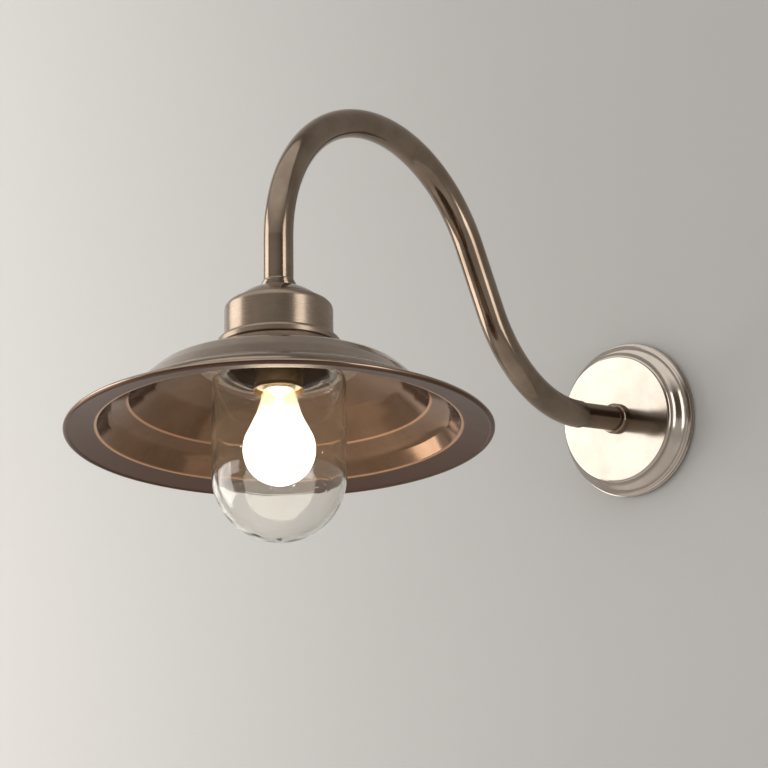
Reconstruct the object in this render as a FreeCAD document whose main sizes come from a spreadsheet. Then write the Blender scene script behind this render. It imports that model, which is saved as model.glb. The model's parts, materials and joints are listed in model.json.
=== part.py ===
import FreeCAD, Part
import math
import os
import Sketcher

# Gooseneck wall light. The wall is the plane y = 0 and the light stands out towards -Y.
# The origin is the middle of the wall bracket's back. Wall pieces are drawn in (radius, distance
# from the wall), lamp pieces in (radius, height above the shade's rim plane, along the lamp axis).

SIZES = {
    "lean": 10.0,
    "fit_gap": 0.05,
    "seat_gap": 0.3,
    # wall bracket and what it holds
    "bracket_depth": 16.0,
    "bracket_sheet": 2.0,
    "bracket_width": 26.0,
    "bracket_foot": 57.0,
    "bracket_knee": 36.0,
    "bracket_shelf": 26.0,
    "bracket_bend": 2.5,
    "slot_spacing": 92.0,
    "slot_width": 5.2,
    "slot_length": 12.0,
    "washer_thick": 0.8,
    "washer_radius": 16.6,
    "stub_nut_flats": 29.0,
    "stub_nut_thick": 4.4,
    "stub_tail": 1.0,
    # rose
    "rose_radius": 71.0,
    "rose_depth": 24.0,
    "rose_face": 56.8,
    "rose_sheet": 1.2,
    "rose_lift": 0.3,
    "rose_rim": 3.3,
    "rose_bead": 1.1,
    "rose_flare": 4.2,
    "rose_shoulder": 11.8,
    "rose_cove": 5.2,
    "rose_crown": 4.0,
    "lock_radius": 14.0,
    "lock_thick": 6.0,
    "lock_round": 2.2,
    "gasket_width": 7.5,
    "gasket_thick": 1.5,
    # stub and arm
    "stub_radius": 11.2,
    "stub_bore": 9.2,
    "stub_reach": 83.0,
    "spigot_radius": 10.45,
    "spigot_length": 9.0,
    "arm_radius": 12.5,
    "arm_wall": 1.5,
    "arm_edge": 0.9,
    "foot_bend": 126.0,
    "foot_turn": 71.0,
    "arm_run": 60.0,
    "crook_bend": 141.0,
    "arm_drop": 44.2,
    "bush_length": 15.0,
    # wiring
    "flex_radius": 2.8,
    "core_radius": 0.9,
    "core_bend": 3.0,
    "pole_pitch": 9.5,
    "block_length": 29.0,
    "block_width": 16.0,
    "block_thick": 11.8,
    "block_gap": 22.0,
    "block_entry": 1.3,
    "terminal_radius": 1.7,
    "earth_radius": 2.0,
    "earth_offset": 20.0,
    "earth_raise": 8.5,
    # spun shade
    "shade_height": 72.5,
    "shade_sheet": 1.2,
    "shade_hole": 46.3,
    "shade_seat": 51.5,
    "crown_radius": 70.0,
    "crown_height": 62.0,
    "ridge_radius": 102.5,
    "ridge_height": 50.0,
    "step_radius": 124.0,
    "step_height": 29.3,
    "bowl_radius": 141.5,
    "bowl_height": 21.0,
    "brim_radius": 150.0,
    "brim_height": 7.0,
    "rim_radius": 174.2,
    "rim_height": 1.9,
    "rim_bead": 2.5,
    # clamp ring under the shade
    "clamp_radius": 67.0,
    "clamp_thick": 4.0,
    "clamp_drop": 11.0,
    "clamp_web": 2.5,
    "shade_gasket_thick": 1.7,
    # head body
    "skirt_bore": 42.3,
    "skirt_radius": 45.5,
    "skirt_drop": 17.0,
    "ring_gap": 0.7,
    "ring_radius": 51.4,
    "ring_tall": 7.2,
    "band_radius": 45.1,
    "band_tall": 32.4,
    "band_round": 6.5,
    "head_plate": 4.0,
    "head_inner": 41.0,
    # dome and collar
    "dome_radius": 38.4,
    "dome_rise": 16.0,
    "dome_sheet": 1.6,
    "boss_radius": 16.0,
    "boss_rise": 14.8,
    "boss_thick": 3.0,
    "collar_radius": 15.5,
    "collar_tall": 5.4,
    # nipple, nuts and lampholder
    "nipple_radius": 5.0,
    "nipple_bore": 3.6,
    "nipple_grip": 5.0,
    "nipple_top": 12.0,
    "nut_flats": 14.0,
    "nut_thick": 4.0,
    "holder_radius": 20.1,
    "holder_sheet": 1.0,
    "holder_rise": 18.5,
    "cap_tall": 19.0,
    "shell_tall": 35.5,
    "lip_flare": 1.1,
    "insert_tall": 30.7,
    "insert_set": 4.5,
    "insert_bore_deep": 17.0,
    "contact_pocket": 7.0,
    "contact_radius": 5.0,
    "screw_sheet": 0.45,
    # glass jar and its gasket
    "jar_radius": 55.3,
    "jar_wall": 3.0,
    "jar_straight": 88.4,
    "jar_shoulder": 9.0,
    "jar_neck": 42.2,
    "jar_neck_tall": 17.3,
    "jar_gasket_thick": 2.4,
    "jar_gasket_inner": 44.5,
    "jar_gasket_outer": 50.5,
    # lamp bulb, 60 mm globe with a 27 mm screw cap
    "globe_radius": 29.9,
    "globe_drop": 50.2,
    "neck_radius": 14.5,
    "neck_drop": 3.5,
    "bulb_glass": 0.8,
    "bulb_cap_radius": 13.1,
    "bulb_cap_sheet": 0.4,
    "bulb_cap_tall": 19.0,
    "insulator_tall": 5.7,
    "button_radius": 4.8,
    "button_tall": 1.3,
    "stem_radius": 3.2,
    "stem_tall": 30.0,
    "filament_radius": 1.0,
    "filament_tall": 30.0,
}

doc = FreeCAD.newDocument("WallLight")
sheet = doc.addObject("Spreadsheet::Sheet", "Sizes")
for row, (alias, number) in enumerate(SIZES.items(), 1):
    sheet.set(f"A{row}", alias.replace("_", " "))
    sheet.set(f"B{row}", str(number))
    sheet.setAlias(f"B{row}", alias)
doc.recompute()


class Size:
    """A number together with the sheet formula that gives it."""

    def __init__(self, value, text=None):
        self.value = float(value)
        self.text = text or f"({self.value:.9g})"

    def __add__(self, other):
        other = as_size(other)
        return Size(self.value + other.value, f"({self.text} + {other.text})")

    def __sub__(self, other):
        other = as_size(other)
        return Size(self.value - other.value, f"({self.text} - {other.text})")

    def __mul__(self, other):
        other = as_size(other)
        return Size(self.value * other.value, f"({self.text} * {other.text})")

    def __truediv__(self, other):
        other = as_size(other)
        return Size(self.value / other.value, f"({self.text} / {other.text})")

    def __radd__(self, other):
        return as_size(other) + self

    def __rsub__(self, other):
        return as_size(other) - self

    def __rmul__(self, other):
        return as_size(other) * self

    def __neg__(self):
        return Size(-self.value, f"(0 - {self.text})")


def as_size(number):
    return number if isinstance(number, Size) else Size(number)


def root_of(area):
    return Size(math.sqrt(area.value), f"sqrt({area.text})")


def sin_of(angle):
    return Size(math.sin(math.radians(angle.value)), f"sin({angle.text} * 1deg)")


def cos_of(angle):
    return Size(math.cos(math.radians(angle.value)), f"cos({angle.text} * 1deg)")


class Named:
    """The sizes of the sheet, read by name."""

    def __getattr__(self, name):
        return Size(float(sheet.get(name)), f"Sizes.{name}")


S = Named()
parts = {}


def bind(thing, prop, size):
    thing.setExpression(prop, as_size(size).text)


# --- where the lamp hangs -------------------------------------------------------------------

steep = S.foot_turn
plumb = 90 - S.lean
crook_y = -(S.stub_reach + S.foot_bend * sin_of(steep) + S.arm_run * cos_of(steep)
            + S.crook_bend * (sin_of(steep) + sin_of(plumb)))
crook_z = (S.foot_bend * (1 - cos_of(steep)) + S.arm_run * sin_of(steep)
           + S.crook_bend * (cos_of(plumb) - cos_of(steep)))
seat = S.shade_height
ring_low = seat + S.ring_gap
ring_high = ring_low + S.ring_tall
head_top = ring_high + S.band_tall
boss_top = head_top + S.boss_rise
lamp_reach = boss_top + S.arm_drop
lamp_y = crook_y - lamp_reach * sin_of(S.lean)
lamp_z = crook_z - lamp_reach * cos_of(S.lean)


def in_wall_frame(thing):
    thing.Placement = FreeCAD.Placement(FreeCAD.Vector(), FreeCAD.Rotation(FreeCAD.Vector(1, 0, 0), 90))


def in_lamp_frame(thing):
    turn = FreeCAD.Rotation(FreeCAD.Vector(1, 0, 0), -S.lean.value)
    thing.Placement = FreeCAD.Placement(FreeCAD.Vector(0, lamp_y.value, lamp_z.value), turn)
    bind(thing, "Placement.Base.y", lamp_y)
    bind(thing, "Placement.Base.z", lamp_z)
    thing.setExpression("Placement.Rotation.Angle", f"(0 - {S.lean.text}) * 1deg")


def keep(node, thing, frame=None):
    if frame:
        frame(thing)
    thing.Label = node
    parts[node] = thing
    return thing


# --- sketches -------------------------------------------------------------------------------

class Corner:
    """A corner of an outline: place, rounding, and the turn of the arc that leads to it."""

    def __init__(self, x, y, rounding=None, turn=0.0):
        self.x = as_size(x)
        self.y = as_size(y)
        self.rounding = as_size(rounding) if rounding else None
        self.turn = turn

    @property
    def point(self):
        return (self.x.value, self.y.value)


def fix_point(sketch, geometry, position, corner):
    for kind, size in (("DistanceX", corner.x), ("DistanceY", corner.y)):
        if abs(size.value) < 1e-9:
            axis = -2 if kind == "DistanceX" else -1
            sketch.addConstraint(Sketcher.Constraint("PointOnObject", geometry, position, axis))
            continue
        index = sketch.addConstraint(
            Sketcher.Constraint(kind, -1, 1, geometry, position, size.value))
        bind(sketch, f"Constraints[{index}]", size)


def arc_between(start, end, turn):
    half = math.dist(start, end) / 2
    angle = math.radians(abs(turn))
    radius = half / math.sin(angle / 2)
    side = 1 if turn > 0 else -1
    along = ((end[0] - start[0]) / (2 * half), (end[1] - start[1]) / (2 * half))
    lift = side * radius * math.cos(angle / 2)
    middle = ((start[0] + end[0]) / 2 - along[1] * lift, (start[1] + end[1]) / 2 + along[0] * lift)
    first, last = (start, end) if side > 0 else (end, start)
    low = math.atan2(first[1] - middle[1], first[0] - middle[0])
    high = math.atan2(last[1] - middle[1], last[0] - middle[0])
    if high < low:
        high += 2 * math.pi
    circle = Part.Circle(FreeCAD.Vector(*middle, 0), FreeCAD.Vector(0, 0, 1), radius)
    return Part.ArcOfCircle(circle, low, high), (1, 2) if side > 0 else (2, 1)


def heading(start, end):
    return math.atan2(end[1] - start[1], end[0] - start[0])


def draw_outline(sketch, corners, closed=True):
    """Draws lines, arcs and roundings through the corners, each bound to the sheet."""
    count = len(corners)
    spans = count if closed else count - 1
    starts = [c.point for c in corners]
    ends = [c.point for c in corners]
    turns = {}
    for i, corner in enumerate(corners):
        if not corner.rounding:
            continue
        before = heading(corners[i - 1].point, corner.point)
        after = heading(corner.point, corners[(i + 1) % count].point)
        turn = (after - before + math.pi) % (2 * math.pi) - math.pi
        reach = corner.rounding.value * math.tan(abs(turn) / 2)
        x, y = corner.point
        ends[i] = (x - reach * math.cos(before), y - reach * math.sin(before))
        starts[i] = (x + reach * math.cos(after), y + reach * math.sin(after))
        turns[i] = math.degrees(turn)
    edges = []
    for i in range(spans):
        k = (i + 1) % count
        if corners[k].turn:
            arc, tips = arc_between(starts[i], ends[k], corners[k].turn)
            edge = sketch.addGeometry(arc, False)
            sketch.addConstraint(
                Sketcher.Constraint("Angle", edge, math.radians(abs(corners[k].turn))))
        else:
            a, b = FreeCAD.Vector(*starts[i], 0), FreeCAD.Vector(*ends[k], 0)
            edge = sketch.addGeometry(Part.LineSegment(a, b), False)
            tips = (1, 2)
        edges.append((edge, tips))
    for i, corner in enumerate(corners):
        after = edges[i] if i < len(edges) else None
        before = edges[i - 1] if closed or i else None
        if i in turns:
            arc, tips = arc_between(ends[i], starts[i], turns[i])
            bow = sketch.addGeometry(arc, False)
            mark = sketch.addGeometry(Part.Point(FreeCAD.Vector(*corner.point, 0)), True)
            sketch.addConstraint(Sketcher.Constraint("Tangent", before[0], before[1][1], bow, tips[0]))
            sketch.addConstraint(Sketcher.Constraint("Tangent", bow, tips[1], after[0], after[1][0]))
            index = sketch.addConstraint(Sketcher.Constraint("Radius", bow, corner.rounding.value))
            bind(sketch, f"Constraints[{index}]", corner.rounding)
            fix_point(sketch, mark, 1, corner)
            sketch.addConstraint(Sketcher.Constraint("PointOnObject", mark, 1, before[0]))
            sketch.addConstraint(Sketcher.Constraint("PointOnObject", mark, 1, after[0]))
            continue
        if before and after:
            sketch.addConstraint(
                Sketcher.Constraint("Coincident", before[0], before[1][1], after[0], after[1][0]))
        tip = (after[0], after[1][0]) if after else (before[0], before[1][1])
        fix_point(sketch, tip[0], tip[1], corner)


def plane_of(body, role):
    return next(f for f in body.Origin.OriginFeatures if f.Role == role)


def sketch_on(body, role, name, rise=None):
    sketch = body.newObject("Sketcher::SketchObject", name)
    sketch.AttachmentSupport = (plane_of(body, role), [""])
    sketch.MapMode = "FlatFace"
    if rise is not None:
        bind(sketch, "AttachmentOffset.Base.z", rise)
    return sketch


def circle_on(sketch, radius, x=0, y=0):
    x, y = as_size(x), as_size(y)
    centre = FreeCAD.Vector(x.value, y.value, 0)
    index = sketch.addGeometry(Part.Circle(centre, FreeCAD.Vector(0, 0, 1), radius.value), False)
    if abs(x.value) + abs(y.value) < 1e-9:
        sketch.addConstraint(Sketcher.Constraint("Coincident", index, 3, -1, 1))
    else:
        fix_point(sketch, index, 3, Corner(x, y))
    fixed = sketch.addConstraint(Sketcher.Constraint("Radius", index, radius.value))
    bind(sketch, f"Constraints[{fixed}]", radius)


def spun(node, corners, frame):
    """A piece turned or spun about its axis from a closed outline of (radius, height)."""
    body = doc.addObject("PartDesign::Body", node)
    sketch = sketch_on(body, "XZ_Plane", node + "_outline")
    draw_outline(sketch, [Corner(*c) for c in corners])
    turning = body.newObject("PartDesign::Revolution", node + "_turned")
    turning.Profile = sketch
    turning.ReferenceAxis = (sketch, ["V_Axis"])
    turning.Angle = 360
    body.Tip = turning
    return keep(node, body, frame)


# --- plain solids ---------------------------------------------------------------------------

def solid(kind, name, place=(0, 0, 0), **sizes):
    thing = doc.addObject(kind, name)
    for prop, size in sizes.items():
        bind(thing, prop, size)
    for letter, size in zip("xyz", place):
        bind(thing, f"Placement.Base.{letter}", size)
    return thing


def rod(name, radius, tall, place=(0, 0, 0)):
    return solid("Part::Cylinder", name, place, Radius=radius, Height=tall)


def block(name, place, size):
    return solid("Part::Box", name, place, Length=size[0], Width=size[1], Height=size[2])


def joined(name, things):
    fuse = doc.addObject("Part::MultiFuse", name)
    fuse.Shapes = things
    fuse.Refine = True
    return fuse


def cut(name, base, tool):
    thing = doc.addObject("Part::Cut", name)
    thing.Base = base
    thing.Tool = tool
    return thing


def group(name, things):
    pack = doc.addObject("Part::Compound", name)
    pack.Links = things
    return pack


def hex_nut(node, flats, bore, tall, rise, frame):
    prism = solid("Part::Prism", node + "_hex", (0, 0, rise), Height=tall,
                  Circumradius=flats / math.sqrt(3))
    prism.Polygon = 6
    hole = rod(node + "_bore", bore, tall + 2, (0, 0, rise - 1))
    return keep(node, cut(node, prism, hole), frame)


# --- wall bracket ---------------------------------------------------------------------------

shelf = S.bracket_depth
under = shelf - S.bracket_sheet
stub_tail = under - S.stub_nut_thick - S.stub_tail
stub_hole = S.stub_radius + S.fit_gap
block_low = S.block_gap + S.block_width

wall_bracket = doc.addObject("PartDesign::Body", "wall_bracket")
hat = sketch_on(wall_bracket, "XZ_Plane", "hat_outline")
thick = S.bracket_sheet
inner_bend = S.bracket_bend
outer_bend = inner_bend + thick
slope = (S.bracket_knee - S.bracket_shelf) / under
skew = thick * (root_of(1 + slope * slope) - slope)
draw_outline(hat, [Corner(*c) for c in (
    (-S.bracket_foot, 0),
    (-S.bracket_knee, 0, outer_bend),
    (-S.bracket_shelf, under, inner_bend),
    (S.bracket_shelf, under, inner_bend),
    (S.bracket_knee, 0, outer_bend),
    (S.bracket_foot, 0),
    (S.bracket_foot, thick),
    (S.bracket_knee + skew, thick, inner_bend),
    (S.bracket_shelf + skew, shelf, outer_bend),
    (-(S.bracket_shelf + skew), shelf, outer_bend),
    (-(S.bracket_knee + skew), thick, inner_bend),
    (-S.bracket_foot, thick),
)])
strip = wall_bracket.newObject("PartDesign::Pad", "strip")
strip.Profile = hat
strip.SideType = "Symmetric"
bind(strip, "Length", S.bracket_width)
tab_sketch = sketch_on(wall_bracket, "XY_Plane", "tab_outline", under)
tab_side = S.block_length / 2
draw_outline(tab_sketch, [Corner(*c) for c in (
    (-tab_side, -block_low),
    (tab_side, -block_low),
    (tab_side, 1 - S.bracket_width / 2),
    (-tab_side, 1 - S.bracket_width / 2),
)])
tab = wall_bracket.newObject("PartDesign::Pad", "tab")
tab.Profile = tab_sketch
bind(tab, "Length", thick)
holes = sketch_on(wall_bracket, "XY_Plane", "hole_outlines")
circle_on(holes, stub_hole)
circle_on(holes, S.earth_radius + S.fit_gap, S.earth_offset, S.earth_raise)
peg_y = -(S.block_gap + S.block_width / 2)
peg_radius = S.earth_radius
circle_on(holes, peg_radius + S.fit_gap, 0, peg_y)
half_slot = (S.slot_length - S.slot_width) / 2
for side in (-1, 1):
    middle = side * S.slot_spacing / 2
    slot = [
        Corner(middle - half_slot, -(S.slot_width / 2)),
        Corner(middle + half_slot, -(S.slot_width / 2)),
        Corner(middle + half_slot, S.slot_width / 2, None, 180.0),
        Corner(middle - half_slot, S.slot_width / 2),
    ]
    slot[0].turn = 180.0
    draw_outline(holes, slot)
doc.recompute()
before_holes = wall_bracket.Shape.Volume
piercing = wall_bracket.newObject("PartDesign::Pocket", "piercing")
piercing.Profile = holes
piercing.Type = "ThroughAll"
piercing.Reversed = True
wall_bracket.Tip = piercing
keep("wall_bracket", wall_bracket, in_wall_frame)

# --- what the bracket holds -----------------------------------------------------------------

washer_top = shelf + S.washer_thick
spun("stub_washer", (
    (stub_hole, shelf), (S.washer_radius, shelf), (S.washer_radius, washer_top),
    (stub_hole, washer_top)), in_wall_frame)
hex_nut("stub_front_nut", S.stub_nut_flats, stub_hole, S.stub_nut_thick, washer_top, in_wall_frame)
hex_nut("stub_rear_nut", S.stub_nut_flats, stub_hole, S.stub_nut_thick,
        under - S.stub_nut_thick, in_wall_frame)

gasket_edge = S.rose_radius - S.rose_sheet - S.seat_gap
gasket_hole = gasket_edge - S.gasket_width
spun("wall_gasket", (
    (gasket_hole, 0), (gasket_edge, 0), (gasket_edge, S.gasket_thick),
    (gasket_hole, S.gasket_thick)), in_wall_frame)

rose = S.rose_radius
front = S.rose_depth
back = front - S.rose_sheet
rose_sheet = S.rose_sheet
bead = S.rose_bead
step_one = rose - 1.55 * bead
step_two = rose - 2.45 * bead
ledge_in = 3.1 * bead
ledge = rose - ledge_in
ledge_rise = S.rose_rim + 5.4 * bead
shoulder_in = rose - S.rose_shoulder
shoulder_rise = front - S.rose_crown
spun("rose_cover", (
    (stub_hole + S.fit_gap, front),
    (stub_hole + S.fit_gap, back),
    (S.rose_face - rose_sheet / 2, back),
    (shoulder_in - rose_sheet, shoulder_rise),
    (ledge - rose_sheet, ledge_rise),
    (rose - rose_sheet, S.rose_rim * 0.4),
    (rose - rose_sheet, S.rose_lift),
    (rose, S.rose_lift),
    (rose, S.rose_rim),
    (step_one, S.rose_rim + 0.5 * bead),
    (step_one + 0.7 * bead, S.rose_rim + bead),
    (step_one + 0.7 * bead, S.rose_rim + 2.1 * bead),
    (step_one, S.rose_rim + 2.6 * bead),
    (step_two, S.rose_rim + 3.2 * bead),
    (step_two + 0.4 * bead, S.rose_rim + 3.6 * bead),
    (step_two + 0.4 * bead, S.rose_rim + 4.3 * bead),
    (ledge, ledge_rise),
    (rose - S.rose_flare - ledge_in, shoulder_rise - S.rose_cove, None, 34.0),
    (shoulder_in, shoulder_rise, None, -36.0),
    (S.rose_face, front, None, 112.0),
), in_wall_frame)

lock_top = front + S.lock_thick
spun("rose_lock_ring", (
    (stub_hole, front), (S.lock_radius - 0.5, front), (S.lock_radius, front + 0.5),
    (S.lock_radius, lock_top, S.lock_round),
    (stub_hole, lock_top)), in_wall_frame)

reach = S.stub_reach
spigot_end = reach + S.spigot_length
spun("arm_stub", (
    (S.stub_bore, stub_tail), (S.stub_radius, stub_tail), (S.stub_radius, reach),
    (S.spigot_radius, reach), (S.spigot_radius, spigot_end), (S.stub_bore, spigot_end),
), in_wall_frame)

# --- terminal block, its screws, and the earth screw ----------------------------------------

core_rise = stub_tail - S.core_radius - 1.8
block_floor = under - S.block_thick
case = block("block_case", (-tab_side, -block_low, block_floor),
             (S.block_length, S.block_width, S.block_thick))
peg = rod("block_peg", peg_radius, thick + 1.6, (0, peg_y, under - 0.1))
body_of_block = joined("block_body", [case, peg])
pits = []
terminal_screws = []
for pole in (-1, 0, 1):
    across = pole * S.pole_pitch
    entry = rod(f"entry_{pole + 1}", S.block_entry, S.block_width + 2,
                (across, 1 - S.block_gap, core_rise))
    entry.Placement.Rotation = FreeCAD.Rotation(FreeCAD.Vector(1, 0, 0), 90)
    pits.append(entry)
    for row, share in enumerate((0.25, 0.75)):
        down = -(S.block_gap + S.block_width * share)
        pit_tall = core_rise - S.block_entry + 0.4 - block_floor
        screw_radius = S.terminal_radius
        pits.append(rod(f"pit_{pole + 1}_{row}", screw_radius + S.fit_gap, pit_tall + 1,
                        (across, down, block_floor - 1)))
        terminal_screws.append(rod(f"screw_{pole + 1}_{row}", screw_radius, pit_tall - 1.2,
                                   (across, down, block_floor + 0.6)))
keep("terminal_block", cut("terminal_block", body_of_block, joined("block_pits", pits)),
     in_wall_frame)
keep("terminal_screws", group("terminal_screws", terminal_screws), in_wall_frame)

earth_place = (S.earth_offset, S.earth_raise)
screw_head = rod("earth_head", S.earth_radius * 1.9, 2.4, (*earth_place, under - 2.4))
screw_shank = rod("earth_shank", S.earth_radius, thick + 3.6, (*earth_place, under - 0.1))
keep("earth_screw", joined("earth_screw", [screw_head, screw_shank]), in_wall_frame)
earth_hex = solid("Part::Prism", "earth_hex", (*earth_place, shelf), Height=2.6,
                  Circumradius=S.earth_radius * 2)
earth_hex.Polygon = 6
earth_bore = rod("earth_bore", S.earth_radius + S.fit_gap, 4.6, (*earth_place, shelf - 1))
keep("earth_nut", cut("earth_nut", earth_hex, earth_bore), in_wall_frame)


# --- tubes that follow the arm --------------------------------------------------------------

def path_sketch(body, name, lead, drop):
    """The arm's centre line from `lead` before its foot bend to `drop` after the crook."""
    sketch = sketch_on(body, "YZ_Plane", name)
    first = Corner(-S.stub_reach, 0)
    climb_y = S.stub_reach + S.foot_bend * sin_of(steep)
    climb_z = S.foot_bend * (1 - cos_of(steep))
    second = Corner(-climb_y, climb_z, None, -S.foot_turn.value)
    top_y = climb_y + S.arm_run * cos_of(steep)
    top_z = climb_z + S.arm_run * sin_of(steep)
    third = Corner(-top_y, top_z)
    fourth = Corner(crook_y, crook_z, None, S.foot_turn.value + plumb.value)
    fifth = Corner(crook_y - drop * sin_of(S.lean), crook_z - drop * cos_of(S.lean))
    corners = [first, second, third, fourth, fifth]
    if lead:
        corners.insert(0, Corner(-lead, 0))
    draw_outline(sketch, corners, closed=False)
    return sketch


def tube(node, radii, lead, drop):
    body = doc.addObject("PartDesign::Body", node)
    path = path_sketch(body, node + "_path", lead, drop)
    section = sketch_on(body, "XZ_Plane", node + "_section", lead or S.stub_reach)
    for radius in radii:
        circle_on(section, radius)
    sweep = body.newObject("PartDesign::AdditivePipe", node + "_sweep")
    sweep.Profile = section
    doc.recompute()
    sweep.Spine = (path, [f"Edge{k + 1}" for k in range(len(path.Shape.Edges))])
    body.Tip = sweep
    return body, path


def bend_rotation(turn):
    return FreeCAD.Rotation(FreeCAD.Vector(1, 0, 0), turn)


arm_bore = S.arm_radius - S.arm_wall
swan_neck, arm_path = tube("swan_neck_arm", (S.arm_radius, arm_bore), None, S.arm_drop)
doc.recompute()
arm_sweep = swan_neck.Tip
mouth = [f"Edge{k + 1}" for k, edge in enumerate(arm_sweep.Shape.Edges)
         if edge.isClosed() and abs(edge.CenterOfMass.y + S.stub_reach.value) < 0.01
         and abs(edge.Length - 2 * math.pi * S.arm_radius.value) < 0.01]
arm_edge = swan_neck.newObject("PartDesign::Fillet", "arm_edge")
arm_edge.Base = (arm_sweep, mouth)
bind(arm_edge, "Radius", S.arm_edge)
swan_neck.Tip = arm_edge
keep("swan_neck_arm", swan_neck)

flex_end = seat + S.holder_rise - S.cap_tall + S.seat_gap
flex_start = stub_tail + 0.6
inner_flex, flex_path = tube("inner_flex", (S.flex_radius,), flex_start, lamp_reach - flex_end)
keep("inner_flex", inner_flex)


def core_shape(across):
    """One core: out of the flex towards the wall, a quarter turn down, into the block."""
    spread = across.value * 0.42
    start = FreeCAD.Vector(spread, 0, flex_start.value)
    knee = FreeCAD.Vector(spread, 0, core_rise.value + S.core_bend.value)
    bend = S.core_bend.value
    low = FreeCAD.Vector(spread, -bend, core_rise.value)
    mid = FreeCAD.Vector(spread, -bend * (1 - math.cos(math.pi / 4)),
                         core_rise.value + bend * (1 - math.sin(math.pi / 4)))
    side = across.value - spread
    fan = S.block_gap.value - bend - 2.0
    out = FreeCAD.Vector(across.value, -(bend + fan), core_rise.value)
    last = FreeCAD.Vector(across.value, -(S.block_gap.value + 3.0), core_rise.value)
    edges = []
    if (knee - start).Length > 1e-6:
        edges.append(Part.LineSegment(start, knee).toShape())
    edges.append(Part.Arc(knee, mid, low).toShape())
    if abs(side) < 1e-6:
        edges.append(Part.LineSegment(low, last).toShape())
    else:
        angle = 2 * math.atan2(abs(side), fan)
        radius = fan / (2 * math.sin(angle))
        half = FreeCAD.Vector((low.x + out.x) / 2, (low.y + out.y) / 2, low.z)
        sign = 1 if side > 0 else -1
        bow = radius * (1 - math.cos(angle / 2))
        quarter = FreeCAD.Vector(low.x + sign * bow, low.y - radius * math.sin(angle / 2), low.z)
        rest = FreeCAD.Vector(out.x - sign * bow, out.y + radius * math.sin(angle / 2), low.z)
        edges.append(Part.Arc(low, quarter, half).toShape())
        edges.append(Part.Arc(half, rest, out).toShape())
        edges.append(Part.LineSegment(out, last).toShape())
    wire = Part.Wire(edges)
    section = Part.Wire(Part.Circle(start, FreeCAD.Vector(0, 0, -1), S.core_radius.value).toShape())
    pipe = wire.makePipeShell([section], True, False)
    length = sum(e.Length for e in edges)
    share = pipe.Volume / (math.pi * S.core_radius.value ** 2 * length)
    assert abs(share - 1) < 0.02, f"core tube volume {share:.3f}"
    return pipe


core_wires = doc.addObject("Part::Feature", "core_wires")
core_wires.Shape = Part.makeCompound([core_shape(pole * S.pole_pitch) for pole in (-1, 0, 1)])
keep("core_wires", core_wires, in_wall_frame)

# --- head: body, dome, collar, nipple and nuts ----------------------------------------------

gasket_roof = seat + S.shade_gasket_thick
gasket_out = S.ring_radius - 1.2
skirt_low = seat - S.skirt_drop
plate_low = head_top - S.head_plate
nipple_hole = S.nipple_radius + S.fit_gap
spun("head_body", (
    (S.skirt_bore, skirt_low),
    (S.skirt_radius, skirt_low),
    (S.skirt_radius, gasket_roof),
    (gasket_out, gasket_roof),
    (gasket_out, ring_low),
    (S.ring_radius - 0.6, ring_low),
    (S.ring_radius, ring_low + 0.6),
    (S.ring_radius, ring_high, 3.2),
    (S.band_radius, ring_high),
    (S.band_radius, head_top, S.band_round),
    (nipple_hole, head_top),
    (nipple_hole, plate_low),
    (S.head_inner, plate_low),
    (S.head_inner, plate_low - 10.0),
    (S.skirt_bore, plate_low - 12.0),
), in_lamp_frame)
spun("shade_gasket", (
    (S.skirt_radius + S.fit_gap, seat), (gasket_out - S.fit_gap, seat),
    (gasket_out - S.fit_gap, gasket_roof), (S.skirt_radius + S.fit_gap, gasket_roof),
), in_lamp_frame)

ball = (S.dome_radius * S.dome_radius + S.dome_rise * S.dome_rise) / (2 * S.dome_rise)
ball_middle = head_top + S.dome_rise - ball
inner_ball = ball - S.dome_sheet
boss_roof = boss_top - S.boss_thick
boss_foot = ball_middle + root_of(ball * ball - S.boss_radius * S.boss_radius)
inner_low = root_of(inner_ball * inner_ball - (head_top - ball_middle) * (head_top - ball_middle))
inner_high = root_of(inner_ball * inner_ball - (boss_roof - ball_middle) * (boss_roof - ball_middle))


def swing(outer, inner, radius):
    return math.degrees(math.asin(outer.value / radius.value) - math.asin(inner.value / radius.value))


spun("dome_cap", (
    (S.dome_radius, head_top),
    (S.boss_radius, boss_foot, None, swing(S.dome_radius, S.boss_radius, ball)),
    (S.boss_radius, boss_top),
    (nipple_hole, boss_top),
    (nipple_hole, boss_roof),
    (inner_high, boss_roof),
    (inner_low, head_top, None, -swing(inner_low, inner_high, inner_ball)),
), in_lamp_frame)

arm_hole = S.arm_radius + S.fit_gap
collar_top = boss_top + S.collar_tall
spun("head_collar", (
    (arm_hole, boss_top),
    (S.collar_radius, boss_top),
    (S.collar_radius, boss_top + 0.9),
    (S.collar_radius - 0.4, boss_top + 1.4),
    (S.collar_radius - 1.1, boss_top + 1.6),
    (S.collar_radius - 1.1, boss_top + 3.1),
    (S.collar_radius - 1.4, boss_top + 3.6),
    (S.collar_radius - 2.0, boss_top + 3.7),
    (S.collar_radius - 1.9, boss_top + 4.4),
    (arm_hole + 0.6, collar_top),
    (arm_hole, collar_top),
), in_lamp_frame)

spun("arm_end_bush", (
    (nipple_hole, boss_top), (arm_bore - S.fit_gap, boss_top),
    (arm_bore - S.fit_gap, boss_top + S.bush_length), (nipple_hole, boss_top + S.bush_length),
), in_lamp_frame)

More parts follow.
